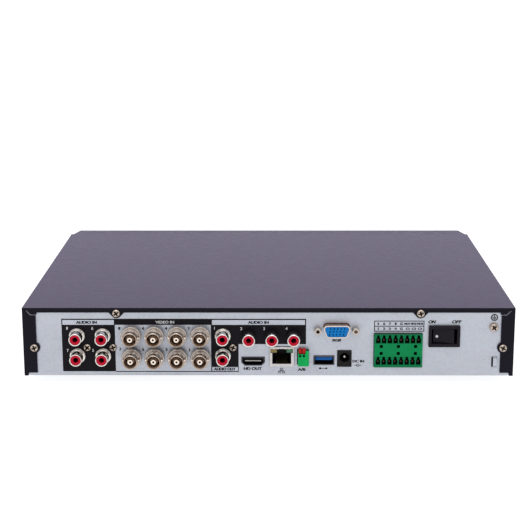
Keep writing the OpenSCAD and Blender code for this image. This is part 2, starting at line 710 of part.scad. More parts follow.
rocker_pivot_out = -3;
rocker_pin_r = 1.2;
rocker_room = [16.8, 10.1];
rocker_w = 9.7;

module at_switch() {
    rear_face() translate([switch_at[0], switch_at[1], 0]) children();
}

module switch_housing() color("#1b1a1f") at_switch() {
    difference() {
        union() {
            slab(0, 1.8) polygon(rounded(20.8, 14.6, 0.6));
            slab(-16, 0.1) square([18.9, 12.9], center = true);
        }
        slab(-10, 3) square(rocker_room, center = true);
        translate([0, 8, rocker_pivot_out]) rotate([90, 0, 0]) cylinder(r = rocker_pin_r + 0.05, h = 16);
    }
    // Blade terminals.
    for (x = [-5, 5]) span([x - 0.4, -2.4, -24], [x + 0.4, 2.4, -16]);
}

module switch_rocker() color("#1f1e23") at_switch()
    translate([0, 0, rocker_pivot_out]) rotate([0, -rocker_travel / 2, 0]) {
        translate([0, rocker_w / 2, 0]) rotate([90, 0, 0]) linear_extrude(rocker_w) polygon(
            [[-7.3, -2.4], [-7.3, 2.8], [-7, 3.4], [-6.4, 3.6], [0, 3], [6.4, 3.6], [7, 3.4],
             [7.3, 2.8], [7.3, -2.4], [3, -4.2], [-3, -4.2]]);
        translate([0, 5.9, 0]) rotate([90, 0, 0]) cylinder(r = rocker_pin_r, h = 11.8);
    }

// ---------- hard disk ----------

function hdd_screw_points() = [for (dx = [41.3, 85.7], dy = [3.2, 98.4])
    [hdd_at[0] + hdd[0] - dx, hdd_at[1] + dy]];

module hdd_case() color("#9a9da2") difference() {
    translate(hdd_at) cube(hdd);
    // Recess of the circuit board underneath.
    translate(hdd_at + [20, 9, -1]) cube([112, 84, 4]);
    // Cavity of the disks and the arm.
    translate([0, 0, hdd_at[2] + 7.5]) linear_extrude(30) {
        translate(disk_at) circle(r = disk_r + 1.3);
        translate(disk_at + [20, -45.5]) square([68, 91]);
    }
    for (p = hdd_screw_points()) translate([p[0], p[1], hdd_at[2] - 1])
        cylinder(r = screw_r + thread_gap, h = 6);
    // Mouth of the data and power sockets.
    translate(hdd_at + [hdd[0] - 5, 14, 3.2]) cube([10, 42, 3]);
}

module hdd_lid() color("#c9ccd0") translate([hdd_at[0], hdd_at[1], hdd_at[2] + hdd[2]])
    linear_extrude(1) translate([hdd[0] / 2, hdd[1] / 2]) polygon(rounded(hdd[0] - 1, hdd[1] - 1, 4));

disk_z = hdd_at[2] + 7.5;

module hdd_platters() color("#d9dade") translate([disk_at[0], disk_at[1], disk_z]) {
    rotate_extrude() polygon([[0, 1], [12.5, 1], [12.5, 5], [disk_r, 5], [disk_r, 6.3], [12.5, 6.3],
                              [12.5, 9], [disk_r, 9], [disk_r, 10.3], [16, 10.3], [16, 12.5], [0, 12.5]]);
}

module hdd_actuator() color("#b4b7bc") translate([arm_pivot[0], arm_pivot[1], disk_z]) {
    difference() {
        cylinder(r = 7, h = 14);
        translate([0, 0, -1]) cylinder(r = 2.5, h = 20);
    }
    rotate([0, 0, arm_park]) {
        for (z = [3.3, 7.2, 11.2]) translate([0, 0, z]) linear_extrude(0.9)
            polygon([[5, -5], [30, -2.2], [48, -1.2], [48, 1.2], [30, 2.2], [5, 5]]);
        translate([-17, -7, 5.5]) cube([12, 14, 3]);
    }
}

module hdd_board() color("#20603a") translate(hdd_at + [20.3, 9.3, 0.4]) cube([111.4, 83.4, 1.6]);

module hdd_screws() color("#cfc9c0") for (p = hdd_screw_points())
    translate([p[0], p[1], foot_h]) mirror([0, 0, 1]) pan_screw(4.5);

// ---------- leads ----------

plug_x = hdd_at[0] + hdd[0];
data_plug_y = hdd_at[1] + 20;
power_plug_y = hdd_at[1] + 42;
socket_y = panel_y + socket_out;

function board_x(u) = case_w / 2 - u;

module cable_plugs() color("#1b1b1f") {
    // At the disk.
    span([plug_x, data_plug_y - 6, hdd_at[2] + 2], [plug_x + 14, data_plug_y + 6, hdd_at[2] + 8]);
    span([plug_x, power_plug_y - 12, hdd_at[2] + 2], [plug_x + 14, power_plug_y + 12, hdd_at[2] + 8]);
    // At the main board.
    chip_plug(data_u, 8, 14, 5, 13);
    chip_plug(power_u, 7, 10, 6, 9);
    chip_plug(ribbon_u, 6, 18, 5, 6);
    // At the front board.
    translate([0, 0, foot_h + front_h + board_t + 6])
        span([91, metal_y + 12.5, 0], [109, metal_y + 17.5, 5]);
}

// A plug standing on a board socket of height h.
module chip_plug(u, h, w, d, tall) {
    on_board([u, socket_out]) translate([-w / 2, -d / 2, h]) cube([w, d, tall]);
}

module disk_cables() color("#b02020") {
    z = foot_h;
    wire([[plug_x + 14, data_plug_y, z + 6], [24, data_plug_y, z + 6], [34, data_plug_y + 14, z + 16],
          [34, data_plug_y + 50, z + 30], [30, socket_y - 12, z + 38], [board_x(data_u), socket_y, z + 36],
          [board_x(data_u), socket_y, z + board_top + 21]], 2.2);
    for (k = [0:3]) {
        y = power_plug_y - 6 + k * 4;
        x = board_x(power_u) - 3 + k * 2;
        wire([[plug_x + 14, y, z + 6], [20, y, z + 6], [40, y + 8, z + 9 + k], [x, y + 26, z + 14],
              [x, socket_y - 14, z + 27], [x, socket_y, z + 28], [x, socket_y, z + board_top + 16]], 0.75);
    }
}

// Flat ribbon from the front board to the main board, drawn from the side in [y, height].
module front_cable() color("#9aa0a8") {
    a = [metal_y + 15, front_h + board_t + 11];
    b = [socket_y, board_top + 12];
    top = 36;
    r = 4;
    t = 0.9;
    translate([100 - 8, 0, foot_h]) rotate([90, 0, 90]) linear_extrude(16) polygon(concat(
        [[a[0] - t / 2, a[1]]],
        [for (i = [0:4]) [a[0] - t / 2 + r - r * cos(90 * i / 4), top - r + r * sin(90 * i / 4)]],
        [for (i = [0:4]) [b[0] + t / 2 - r + r * sin(90 * i / 4), top - r + r * cos(90 * i / 4)]],
        [[b[0] + t / 2, b[1]], [b[0] - t / 2, b[1]]],
        [for (i = [4:-1:0])
            [b[0] + t / 2 - r + (r - t) * sin(90 * i / 4), top - r + (r - t) * cos(90 * i / 4)]],
        [for (i = [4:-1:0])
            [a[0] - t / 2 + r - (r - t) * cos(90 * i / 4), top - r + (r - t) * sin(90 * i / 4)]],
        [[a[0] + t / 2, a[1]]]));
}

base_tray();
top_cover();
front_bezel();
light_guides();
ir_window();
rubber_feet();
cover_screws();
panel_screws();
front_board();
front_board_parts();
front_usb_shell();
front_usb_tongue();
main_board();
board_standoffs();
board_screws();
processor();
heatsink();
board_chips();
capacitors();
alarm_relays();
clock_battery();
battery_clip();
board_sockets();
bnc_housings();
bnc_shells();
bnc_insulators();
bnc_contacts();
rca_housings();
rca_shells();
rca_insulators();
rca_contacts();
vga_shell();
vga_insulator();
vga_jackscrews();
hdmi_shell();
hdmi_tongue();
lan_shield();
lan_insert();
lan_contacts();
lan_lights();
rs485_body();
rs485_lever_a();
rs485_lever_b();
usb_shell();
usb_tongue();
dc_jack_body();
dc_jack_pin();
alarm_header();
alarm_header_pins();
switch_housing();
switch_rocker();
hdd_case();
hdd_lid();
hdd_platters();
hdd_actuator();
hdd_board();
hdd_screws();
disk_cables();
cable_plugs();
front_cable();
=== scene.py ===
"""Looks for the slim eight-channel video recorder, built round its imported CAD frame.

Lengths of the added pieces are in millimetres in the rear panel's coordinates [u, h, out]: u runs from the case's
left edge as seen from behind, h is the height above the case's underside, out points away from the panel.
"""
import json
import math

import bmesh
import bpy
from mathutils import Euler, Matrix, Vector


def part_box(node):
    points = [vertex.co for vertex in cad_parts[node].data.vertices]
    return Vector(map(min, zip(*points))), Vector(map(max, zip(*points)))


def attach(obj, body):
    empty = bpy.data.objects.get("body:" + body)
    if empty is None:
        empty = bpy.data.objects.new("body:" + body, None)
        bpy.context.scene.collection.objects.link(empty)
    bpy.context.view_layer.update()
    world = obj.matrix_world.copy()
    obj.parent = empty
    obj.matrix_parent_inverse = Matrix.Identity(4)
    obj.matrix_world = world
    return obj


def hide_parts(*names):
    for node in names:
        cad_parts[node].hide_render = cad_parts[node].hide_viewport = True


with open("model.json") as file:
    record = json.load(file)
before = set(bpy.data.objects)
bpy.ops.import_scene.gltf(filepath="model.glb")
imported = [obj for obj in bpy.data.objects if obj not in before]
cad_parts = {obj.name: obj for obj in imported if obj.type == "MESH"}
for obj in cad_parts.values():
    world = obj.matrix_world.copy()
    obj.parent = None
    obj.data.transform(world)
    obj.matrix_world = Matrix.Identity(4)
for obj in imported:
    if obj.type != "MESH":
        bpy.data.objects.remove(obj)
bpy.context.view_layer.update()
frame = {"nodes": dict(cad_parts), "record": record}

MM = 0.001
cover_low, cover_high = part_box("top_cover")
RIGHT, PANEL, BASE = cover_high.x, cover_high.y - MM, cover_low.z
# From [u, h, out] in millimetres to the row frame in metres.
TO_ROW = Matrix(((-MM, 0, 0, RIGHT), (0, 0, MM, PANEL), (0, MM, 0, BASE), (0, 0, 0, 1)))


# ---------- camera, floor and light ----------

SENSOR, LENS = 36, 92.04  # millimetres
CAMERA_PLACE = (-0.0023, 0.9678, 0.2897)
PITCH, YAW, ROLL = 13.57, -0.41, -0.09  # degrees down, to the side and about the view
WHITE = (1.04, 1.04, 1.05, 1)
# Brightness of the surroundings on the viewer's side, by the height of the direction.
WORLD_BANDS = ((0.20, 0.42), (0.34, 1.35), (0.62, 1.45), (0.80, 0.75))
FLOOR_HALF_WIDTH = 40
FLOOR_GLOW = 0.82
# Name, place, size and power of each soft light, all aimed at the middle of the case.
LIGHTS = (("key", (0.15, 1.1, 1.3), (1.2, 0.8), 9), ("top", (0, -0.3, 1.6), (1.6, 1.2), 4))
AIM = (0, 0, 0.03)


def add_camera():
    """A long lens a little above the rear panel, looking down at it."""
    data = bpy.data.cameras.new("camera")
    data.sensor_width, data.lens = SENSOR, LENS
    data.clip_start, data.clip_end = 0.05, 20
    cam = bpy.data.objects.new("camera", data)
    bpy.context.scene.collection.objects.link(cam)
    pitch, yaw, roll = math.radians(PITCH), math.radians(YAW), math.radians(ROLL)
    ahead = Vector((-math.sin(yaw) * math.cos(pitch), -math.cos(yaw) * math.cos(pitch), -math.sin(pitch)))
    side = Vector((-math.cos(yaw), math.sin(yaw), 0))
    up = side.cross(ahead)
    x = side * math.cos(roll) + up * math.sin(roll)
    y = up * math.cos(roll) - side * math.sin(roll)
    cam.matrix_world = Matrix((x, y, -ahead)).transposed().to_4x4()
    cam.location = CAMERA_PLACE
    bpy.context.scene.camera = cam


def add_world():
    """White all round, darker low down on the viewer's side, with a bright band above it."""
    world = bpy.data.worlds.new("studio")
    world.use_nodes = True
    nt = world.node_tree
    nt.nodes.clear()
    output = nt.nodes.new("ShaderNodeOutputWorld")
    background = nt.nodes.new("ShaderNodeBackground")
    coord = nt.nodes.new("ShaderNodeTexCoord")
    split = nt.nodes.new("ShaderNodeSeparateXYZ")
    nt.links.new(coord.outputs["Generated"], split.inputs[0])
    side = nt.nodes.new("ShaderNodeMapRange")
    side.inputs["From Min"].default_value, side.inputs["From Max"].default_value = -0.15, 0.35
    nt.links.new(split.outputs["Y"], side.inputs["Value"])
    height = nt.nodes.new("ShaderNodeValToRGB")
    ramp = height.color_ramp
    ramp.elements[0].position, ramp.elements[0].color = 0.0, (0.30, 0.30, 0.32, 1)
    ramp.elements[1].position, ramp.elements[1].color = 1.0, (1.0, 1.0, 1.0, 1)
    for place, tone in WORLD_BANDS:
        stop = ramp.elements.new(place)
        stop.color = (tone, tone, tone * 1.01, 1)
    nt.links.new(split.outputs["Z"], height.inputs["Fac"])
    mix = nt.nodes.new("ShaderNodeMix")
    mix.data_type = "RGBA"
    mix.inputs["A"].default_value = WHITE
    nt.links.new(side.outputs["Result"], mix.inputs["Factor"])
    nt.links.new(height.outputs["Color"], mix.inputs["B"])
    # What lies behind the object stays plain white above the floor's far edge too.
    path = nt.nodes.new("ShaderNodeLightPath")
    behind = nt.nodes.new("ShaderNodeMix")
    behind.data_type = "RGBA"
    nt.links.new(path.outputs["Is Camera Ray"], behind.inputs["Factor"])
    nt.links.new(mix.outputs["Result"], behind.inputs["A"])
    behind.inputs["B"].default_value = WHITE
    nt.links.new(behind.outputs["Result"], background.inputs["Color"])
    nt.links.new(background.outputs[0], output.inputs[0])
    bpy.context.scene.world = world


def add_lights():
    """Large soft lights over the viewer's side and over the top."""
    for name, place, size, power in LIGHTS:
        data = bpy.data.lights.new(name, "AREA")
        data.shape, data.size, data.size_y, data.energy = "RECTANGLE", size[0], size[1], power
        lamp = bpy.data.objects.new(name, data)
        bpy.context.scene.collection.objects.link(lamp)
        lamp.location = place
        lamp.rotation_euler = (Vector(AIM) - Vector(place)).to_track_quat("-Z", "Y").to_euler()


def add_floor():
    """A pale floor that glows a little, so that it stays white away from the object."""
    mesh = bpy.data.meshes.new("floor")
    bm = bmesh.new()
    bmesh.ops.create_grid(bm, x_segments=1, y_segments=1, size=FLOOR_HALF_WIDTH)
    bm.to_mesh(mesh)
    bm.free()
    floor = bpy.data.objects.new("floor", mesh)
    bpy.context.scene.collection.objects.link(floor)
    paint = surface("floor_paint", (0.34, 0.34, 0.345), 0.75, vary=0.01, scale=3, specular=0.1)
    glow = paint.node_tree.nodes["Principled BSDF"]
    glow.inputs["Emission Color"].default_value = (1, 1, 1, 1)
    glow.inputs["Emission Strength"].default_value = FLOOR_GLOW
    floor.data.materials.append(paint)


# ---------- materials ----------

def shader(name):
    """A new material with nothing but a Principled shader: the material, its node tree and the shader."""
    m = bpy.data.materials.new(name)
    m.use_nodes = True
    nt = m.node_tree
    nt.nodes.clear()
    output = nt.nodes.new("ShaderNodeOutputMaterial")
    bsdf = nt.nodes.new("ShaderNodeBsdfPrincipled")
    nt.links.new(bsdf.outputs[0], output.inputs[0])
    return m, nt, bsdf


def coordinates(nt, stretch=(1, 1, 1)):
    """The object's own coordinates. A pattern is drawn out along an axis whose stretch is below 1."""
    coord = nt.nodes.new("ShaderNodeTexCoord")
    mapping = nt.nodes.new("ShaderNodeMapping")
    mapping.inputs["Scale"].default_value = stretch
    nt.links.new(coord.outputs["Object"], mapping.inputs["Vector"])
    return mapping.outputs["Vector"]


def noise(nt, vector, scale, detail=3.0, roughness=0.55):
    n = nt.nodes.new("ShaderNodeTexNoise")
    n.inputs["Scale"].default_value = scale
    n.inputs["Detail"].default_value = detail
    n.inputs["Roughness"].default_value = roughness
    nt.links.new(vector, n.inputs["Vector"])
    return n.outputs["Fac"]


NOISE_LOW, NOISE_HIGH = 0.3, 0.7  # nearly all of a noise lies between these


def spread(nt, value, low, high):
    """Maps the middle of a noise's range to low and high."""
    r = nt.nodes.new("ShaderNodeMapRange")
    r.inputs["From Min"].default_value, r.inputs["From Max"].default_value = NOISE_LOW, NOISE_HIGH
    r.inputs["To Min"].default_value, r.inputs["To Max"].default_value = low, high
    nt.links.new(value, r.inputs["Value"])
    return r.outputs["Result"]


ZONE_BLEND = 0.05 * MM  # half the width of the change from one zone's colour to the next


def zoned(nt, colour, zones):
    """Lays other colours over a colour beyond planes.

    Each zone is (axis, place, side, colour). Its colour lies above the place if side is 1, and below it if -1.
    """
    if not zones:
        return colour
    coord = nt.nodes.new("ShaderNodeTexCoord")
    split = nt.nodes.new("ShaderNodeSeparateXYZ")
    nt.links.new(coord.outputs["Object"], split.inputs[0])
    for axis, place, side, tone in zones:
        edge = nt.nodes.new("ShaderNodeMapRange")
        edge.inputs["From Min"].default_value = place - side * ZONE_BLEND
        edge.inputs["From Max"].default_value = place + side * ZONE_BLEND
        nt.links.new(split.outputs[axis], edge.inputs["Value"])
        mix = nt.nodes.new("ShaderNodeMix")
        mix.data_type = "RGBA"
        nt.links.new(edge.outputs["Result"], mix.inputs["Factor"])
        nt.links.new(colour, mix.inputs["A"])
        mix.inputs["B"].default_value = (*tone, 1)
        colour = mix.outputs["Result"]
    return colour


def two_tones(nt, value, colour, vary):
    """A colour that follows a noise from a little darker to a little lighter."""
    ramp = nt.nodes.new("ShaderNodeValToRGB")
    low = [max(0.0, c * (1 - vary)) for c in colour]
    high = [min(1.0, c * (1 + vary)) for c in colour]
    for element, place, tone in zip(ramp.color_ramp.elements, (NOISE_LOW, NOISE_HIGH), (low, high)):
        element.position, element.color = place, (*tone, 1)
    nt.links.new(value, ramp.inputs["Fac"])
    return ramp.outputs["Color"]


def bump(nt, height, bsdf, strength, distance):
    b = nt.nodes.new("ShaderNodeBump")
    b.inputs["Strength"].default_value = strength
    b.inputs["Distance"].default_value = distance
    nt.links.new(height, b.inputs["Height"])
    nt.links.new(b.outputs["Normal"], bsdf.inputs["Normal"])


def surface(name, colour, rough, metallic=0.0, vary=0.08, scale=300, rough_vary=0.05, grain=2500,
            strength=0.15, distance=2e-5, stretch=(1, 1, 1), specular=0.5, coat=0.0, sheen=0.0,
            sheen_tint=(1, 1, 1), sheen_rough=0.5, zones=()):
    """A procedural finish: colour and roughness vary slowly at one scale, and a bump at the grain's scale."""
    m, nt, bsdf = shader(name)
    plain, drawn = coordinates(nt), coordinates(nt, stretch)
    slow = noise(nt, plain, scale)
    fine = noise(nt, drawn, grain, 4)
    nt.links.new(zoned(nt, two_tones(nt, slow, colour, vary), zones), bsdf.inputs["Base Color"])
    nt.links.new(spread(nt, noise(nt, drawn, scale * 2.7), rough - rough_vary, rough + rough_vary),
                 bsdf.inputs["Roughness"])
    bump(nt, fine, bsdf, strength, distance)
    bsdf.inputs["Metallic"].default_value = metallic
    bsdf.inputs["Specular IOR Level"].default_value = specular
    bsdf.inputs["Coat Weight"].default_value = coat
    bsdf.inputs["Sheen Weight"].default_value = sheen
    bsdf.inputs["Sheen Tint"].default_value = (*sheen_tint, 1)
    bsdf.inputs["Sheen Roughness"].default_value = sheen_rough
    return m


def galvanised(name):
    """Zinc-coated sheet: a soft cloudy bloom, a fine rolled grain along the case and rare small stains."""
    m, nt, bsdf = shader(name)
    plain, rolled = coordinates(nt), coordinates(nt, (0.06, 1, 1))
    cloud = noise(nt, plain, 45, 4, 0.6)
    crystals = nt.nodes.new("ShaderNodeTexVoronoi")
    crystals.inputs["Scale"].default_value = 900
    nt.links.new(plain, crystals.inputs["Vector"])
    tone = nt.nodes.new("ShaderNodeMix")
    tone.data_type = "RGBA"
    tone.inputs["Factor"].default_value = 0.06
    nt.links.new(two_tones(nt, cloud, (0.408, 0.430, 0.482), 0.045), tone.inputs["A"])
    grey = nt.nodes.new("ShaderNodeHueSaturation")
    grey.inputs["Saturation"].default_value = 0.3
    nt.links.new(crystals.outputs["Color"], grey.inputs["Color"])
    nt.links.new(grey.outputs["Color"], tone.inputs["B"])
    nt.links.new(tone.outputs["Result"], bsdf.inputs["Base Color"])
    nt.links.new(spread(nt, noise(nt, rolled, 900, 4), 0.36, 0.50), bsdf.inputs["Roughness"])
    bump(nt, noise(nt, rolled, 2600, 5, 0.6), bsdf, 0.22, 2e-5)
    bsdf.inputs["Metallic"].default_value = 0.82
    return m


def turned(name, colour, rough, strength=0.25):
    """Plated turned metal: fine rings round an axis that points out of the panel, and slow stains."""
    m, nt, bsdf = shader(name)
    plain, drawn = coordinates(nt), coordinates(nt, (0.02, 1, 0.02))
    nt.links.new(two_tones(nt, noise(nt, plain, 420, 4), colour, 0.10), bsdf.inputs["Base Color"])
    nt.links.new(spread(nt, noise(nt, plain, 900, 3), rough - 0.05, rough + 0.08), bsdf.inputs["Roughness"])
    bump(nt, noise(nt, drawn, 2600, 3), bsdf, strength, 1.5e-5)
    bsdf.inputs["Metallic"].default_value = 1
    return m


def two_lenses(name, split_x, left, right):
    """Clear light lenses whose tint depends on the side of the socket that they are on."""
    m, nt, bsdf = shader(name)
    coord = nt.nodes.new("ShaderNodeTexCoord")
    split = nt.nodes.new("ShaderNodeSeparateXYZ")
    nt.links.new(coord.outputs["Object"], split.inputs[0])
    is_left = nt.nodes.new("ShaderNodeMath")
    is_left.operation = "GREATER_THAN"
    is_left.inputs[1].default_value = split_x
    nt.links.new(split.outputs["X"], is_left.inputs[0])
    mix = nt.nodes.new("ShaderNodeMix")
    mix.data_type = "RGBA"
    nt.links.new(is_left.outputs[0], mix.inputs["Factor"])
    grain = noise(nt, coordinates(nt), 900)
    nt.links.new(two_tones(nt, grain, right, 0.2), mix.inputs["A"])
    nt.links.new(two_tones(nt, grain, left, 0.2), mix.inputs["B"])
    nt.links.new(mix.outputs["Result"], bsdf.inputs["Base Color"])
    nt.links.new(spread(nt, grain, 0.18, 0.3), bsdf.inputs["Roughness"])
    bump(nt, noise(nt, coordinates(nt), 1800), bsdf, 0.3, 4e-5)
    bsdf.inputs["Coat Weight"].default_value = 0.4
    return m


def board_paint(name):
    """Solder mask over copper tracks."""
    m, nt, bsdf = shader(name)
    plain = coordinates(nt)
    brick = nt.nodes.new("ShaderNodeTexBrick")
    brick.inputs["Scale"].default_value = 160
    brick.inputs["Color1"].default_value = (0.012, 0.12, 0.05, 1)
    brick.inputs["Color2"].default_value = (0.016, 0.16, 0.07, 1)
    brick.inputs["Mortar"].default_value = (0.03, 0.24, 0.11, 1)
    brick.inputs["Mortar Size"].default_value = 0.03
    nt.links.new(plain, brick.inputs["Vector"])
    nt.links.new(brick.outputs["Color"], bsdf.inputs["Base Color"])
    nt.links.new(spread(nt, noise(nt, plain, 700), 0.25, 0.4), bsdf.inputs["Roughness"])
    bump(nt, brick.outputs["Fac"], bsdf, 0.3, 3e-5)
    return m


def out(mm):
    """Row coordinate Y of a level this far out of the rear panel."""
    return PANEL + mm * MM


NETWORK_U, DISPLAY_U = 171.35, 152.35  # the middles of the network and display sockets
FINISHES = {
    "galvanised_steel": galvanised("galvanised_steel"),
    "black_coated_steel": surface("black_coated_steel", (0.0022, 0.0018, 0.0050), 0.28, vary=0.2, scale=60,
                                  rough_vary=0.015, grain=3200, strength=0.05, distance=2e-5, specular=0.11,
                                  sheen=0.18, sheen_tint=(0.35, 0.08, 1.0), sheen_rough=0.4),
    "bezel_plastic": surface("bezel_plastic", (0.0045, 0.0038, 0.0070), 0.33, vary=0.15, scale=80, grain=5200,
                             strength=0.25, distance=3e-5, specular=0.16, sheen=0.16,
                             sheen_tint=(0.35, 0.08, 1.0), sheen_rough=0.4),
    "clear_plastic": surface("clear_plastic", (0.80, 0.86, 0.80), 0.28, vary=0.04, coat=0.3),
    "dark_window": surface("dark_window", (0.035, 0.004, 0.008), 0.12, vary=0.2, strength=0.03, coat=0.6),
    "foot_rubber": surface("foot_rubber", (0.018, 0.018, 0.018), 0.8, vary=0.2, grain=2200, strength=0.5,
                           distance=6e-5, specular=0.25),
    "screw_nickel": surface("screw_nickel", (0.46, 0.385, 0.325), 0.27, metallic=1, vary=0.14, scale=900,
                            strength=0.2, distance=1e-5),
    "circuit_board": board_paint("circuit_board"),
    "chip_black": surface("chip_black", (0.02, 0.02, 0.022), 0.55, grain=4000, strength=0.4),
    "brass": turned("brass", (0.70, 0.52, 0.22), 0.28),
    "heatsink_aluminium": surface("heatsink_aluminium", (0.46, 0.48, 0.51), 0.38, metallic=1, vary=0.05,
                                  stretch=(0.05, 1, 1), strength=0.3),
    "capacitor_sleeve": surface("capacitor_sleeve", (0.02, 0.022, 0.035), 0.3, coat=0.3),
    "relay_plastic": surface("relay_plastic", (0.80, 0.78, 0.70), 0.4, vary=0.04),
    "nickel": turned("nickel", (0.44, 0.385, 0.345), 0.25),
    "black_plastic": surface("black_plastic", (0.0050, 0.0042, 0.0050), 0.42, vary=0.2, grain=4200, strength=0.3,
                             distance=3e-5, specular=0.14),
    # Cream plastic that turns brown below 11.8 mm out of the panel: painted shade deep in the video jacks' bores.
    "cream_plastic": surface("cream_plastic", (0.80, 0.70, 0.60), 0.38, vary=0.04, specular=0.2,
                             zones=[(1, out(11.8), -1, (0.16, 0.10, 0.065))]),
    # A dim gold: its darkness is painted shade on contacts that sit deep in their sockets.
    "contact_gold": turned("contact_gold", (0.30, 0.19, 0.07), 0.35),
    "contact_tin": surface("contact_tin", (0.74, 0.70, 0.69), 0.28, metallic=1, vary=0.05, scale=500,
                           stretch=(0.1, 1, 1), strength=0.15, distance=1e-5),
    # Below 9.85 mm out of the panel the red turns near black: painted shade inside the phono jacks' insulators.
    "red_plastic": surface("red_plastic", (0.37, 0.0025, 0.019), 0.36, vary=0.12, strength=0.1, specular=0.12,
                           zones=[(1, out(9.85), -1, (0.075, 0.0008, 0.004))]),
    # Below 4.9 mm out of the panel the blue turns near black: painted shade in the VGA socket's pin holes.
    "blue_plastic": surface("blue_plastic", (0.0008, 0.130, 0.385), 0.36, vary=0.08, strength=0.1, specular=0.12,
                            zones=[(1, out(4.9), -1, (0.001, 0.02, 0.07))]),
    "light_lens": two_lenses("light_lens", RIGHT - NETWORK_U * MM, (0.19, 0.13, 0.010), (0.003, 0.10, 0.028)),
    # Below 4.2 mm out of the panel the green turns dark: painted shade on the data terminal block's sides and in its
    # hollows.
    "green_plastic": surface("green_plastic", (0.002, 0.28, 0.065), 0.38, vary=0.08, strength=0.12, specular=0.1,
                             zones=[(1, out(4.2), -1, (0.001, 0.045, 0.018))]),
    "switch_plastic": surface("switch_plastic", (0.0062, 0.0042, 0.0072), 0.33, vary=0.15, grain=3800,
                              strength=0.16, specular=0.12),
    "cast_aluminium": surface("cast_aluminium", (0.50, 0.51, 0.53), 0.45, metallic=0.9, grain=1600, strength=0.5,
                              distance=5e-5),
    "brushed_lid": surface("brushed_lid", (0.62, 0.63, 0.65), 0.3, metallic=1, vary=0.04, stretch=(0.03, 1, 1),
                           strength=0.3),
    "mirror_disk": surface("mirror_disk", (0.86, 0.86, 0.88), 0.04, metallic=1, vary=0.01, strength=0.02),
    "red_sleeve": surface("red_sleeve", (0.42, 0.02, 0.025), 0.5, vary=0.1, coat=0.1),
    "ribbon_grey": surface("ribbon_grey", (0.40, 0.42, 0.45), 0.5, strength=0.3),
}
GREEN_DEEP = (0.001, 0.125, 0.042)
# Dark metal for the port shells: the darkness is painted shade of their hollow insides, laid over the whole shell.
SHELL_PAINTED_SHADE = surface("stamped_shell_painted_shade", (0.085, 0.085, 0.095), 0.34, metallic=1, vary=0.1, scale=500, strength=0.2)
LEVER_RED = surface("lever_red", (0.40, 0.008, 0.006), 0.36, vary=0.1, strength=0.1, specular=0.15)
# Finishes of single nodes, where their slot's own finish is too general. Some are darker than the real part as
# painted shade: the header's hollows and pins, the network socket's contacts, the port shells and the back of the
# port tongue. The VGA shell's front rim is lighter as a painted highlight.
NODE_FINISHES_AND_SHADE = {
    # The header's green is darker below 13.8 mm and above 22.6 mm. Within 2.15 mm of the panel it is near black:
    # painted shade in the terminal mouths and on the header's sides.
    "alarm_header": surface("header_green", (0.001, 0.172, 0.053), 0.38, vary=0.06, strength=0.12, specular=0.08,
                            zones=[(2, BASE + 13.8 * MM, -1, GREEN_DEEP), (2, BASE + 22.6 * MM, 1, GREEN_DEEP),
                                   (1, out(2.15), -1, (0.0008, 0.018, 0.008))]),
    # Dark pins: painted shade on the pins inside the terminal mouths.
    "alarm_header_pins": surface("header_pins", (0.085, 0.045, 0.035), 0.45, metallic=0.7, scale=900),
    # Dark contacts: painted shade inside the network socket.
    "lan_contacts": surface("socket_contacts", (0.10, 0.075, 0.03), 0.4, metallic=0.8, scale=900),
    "lan_shield": surface("socket_shield", (0.50, 0.475, 0.47), 0.3, metallic=1, vary=0.06, scale=500,
                          stretch=(0.1, 1, 1), strength=0.15, distance=1e-5),
    "usb_shell": SHELL_PAINTED_SHADE,
    "hdmi_shell": SHELL_PAINTED_SHADE,
    # Deeper than 1.6 mm behind the panel's face the blue turns near black: painted shade deep in the port.
    "usb_tongue": surface("tongue_blue", (0.001, 0.085, 0.32), 0.35, vary=0.08, strength=0.1, specular=0.15,
                          zones=[(1, out(-1.6), -1, (0.002, 0.004, 0.008))]),
    # Beyond 5.5 mm out of the panel the shell is light: a painted highlight on its front rim.
    "vga_shell": surface("chromate_shell", (0.20, 0.095, 0.055), 0.30, metallic=0.9, vary=0.2, scale=500,
                         zones=[(1, out(5.5), 1, (0.58, 0.52, 0.48))]),
    "rs485_lever_a": LEVER_RED,
    "rs485_lever_b": LEVER_RED,
    "dc_jack_pin": surface("inlet_pin", (0.42, 0.39, 0.36), 0.25, metallic=1, scale=700),
}
PRINT_BLACK = surface("print_black", (0.0052, 0.0042, 0.0062), 0.42, vary=0.2, scale=120, grain=3000, strength=0.15,
                      specular=0.08)
PRINT_GREY = surface("print_grey", (0.410, 0.434, 0.492), 0.5, vary=0.03, scale=200, grain=3000, strength=0.12,
                     specular=0.2)
PRINT_WHITE = surface("print_white", (0.50, 0.50, 0.51), 0.5, vary=0.03, scale=200, grain=3000, strength=0.12,
                      specular=0.2)
# Near black for the screws' cross recesses: painted shade.
RECESS_SHADE = surface("recess_painted_shade", (0.012, 0.009, 0.008), 0.6, specular=0.1, vary=0.2, scale=900, strength=0.3)
# Dull brown for the video jacks' bores and the insulators' bases: painted shade and reflection deep inside the plated
# barrel.
BORE_SHADE = surface("jack_bore_painted_shade", (0.34, 0.235, 0.165), 0.36, metallic=0.35, vary=0.2, scale=700, strength=0.2,
               specular=0.3)


# ---------- mesh helpers ----------

def add_piece(name, mesh, material, body="chassis", smooth=None, replaces=()):
    """Links a finished mesh as a piece that rides on a body.

    smooth is the angle in degrees up to which edges are shaded round. replaces names the CAD nodes it stands for.
    """
    o = bpy.data.objects.new(name, mesh)
    bpy.context.scene.collection.objects.link(o)
    for m in material if isinstance(material, (list, tuple)) else [material]:
        mesh.materials.append(m)
    if smooth is not None:
        mesh.polygons.foreach_set("use_smooth", [True] * len(mesh.polygons))
        mesh.set_sharp_from_angle(angle=math.radians(smooth))
    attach(o, body)
    if replaces:
        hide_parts(*replaces)
    return o


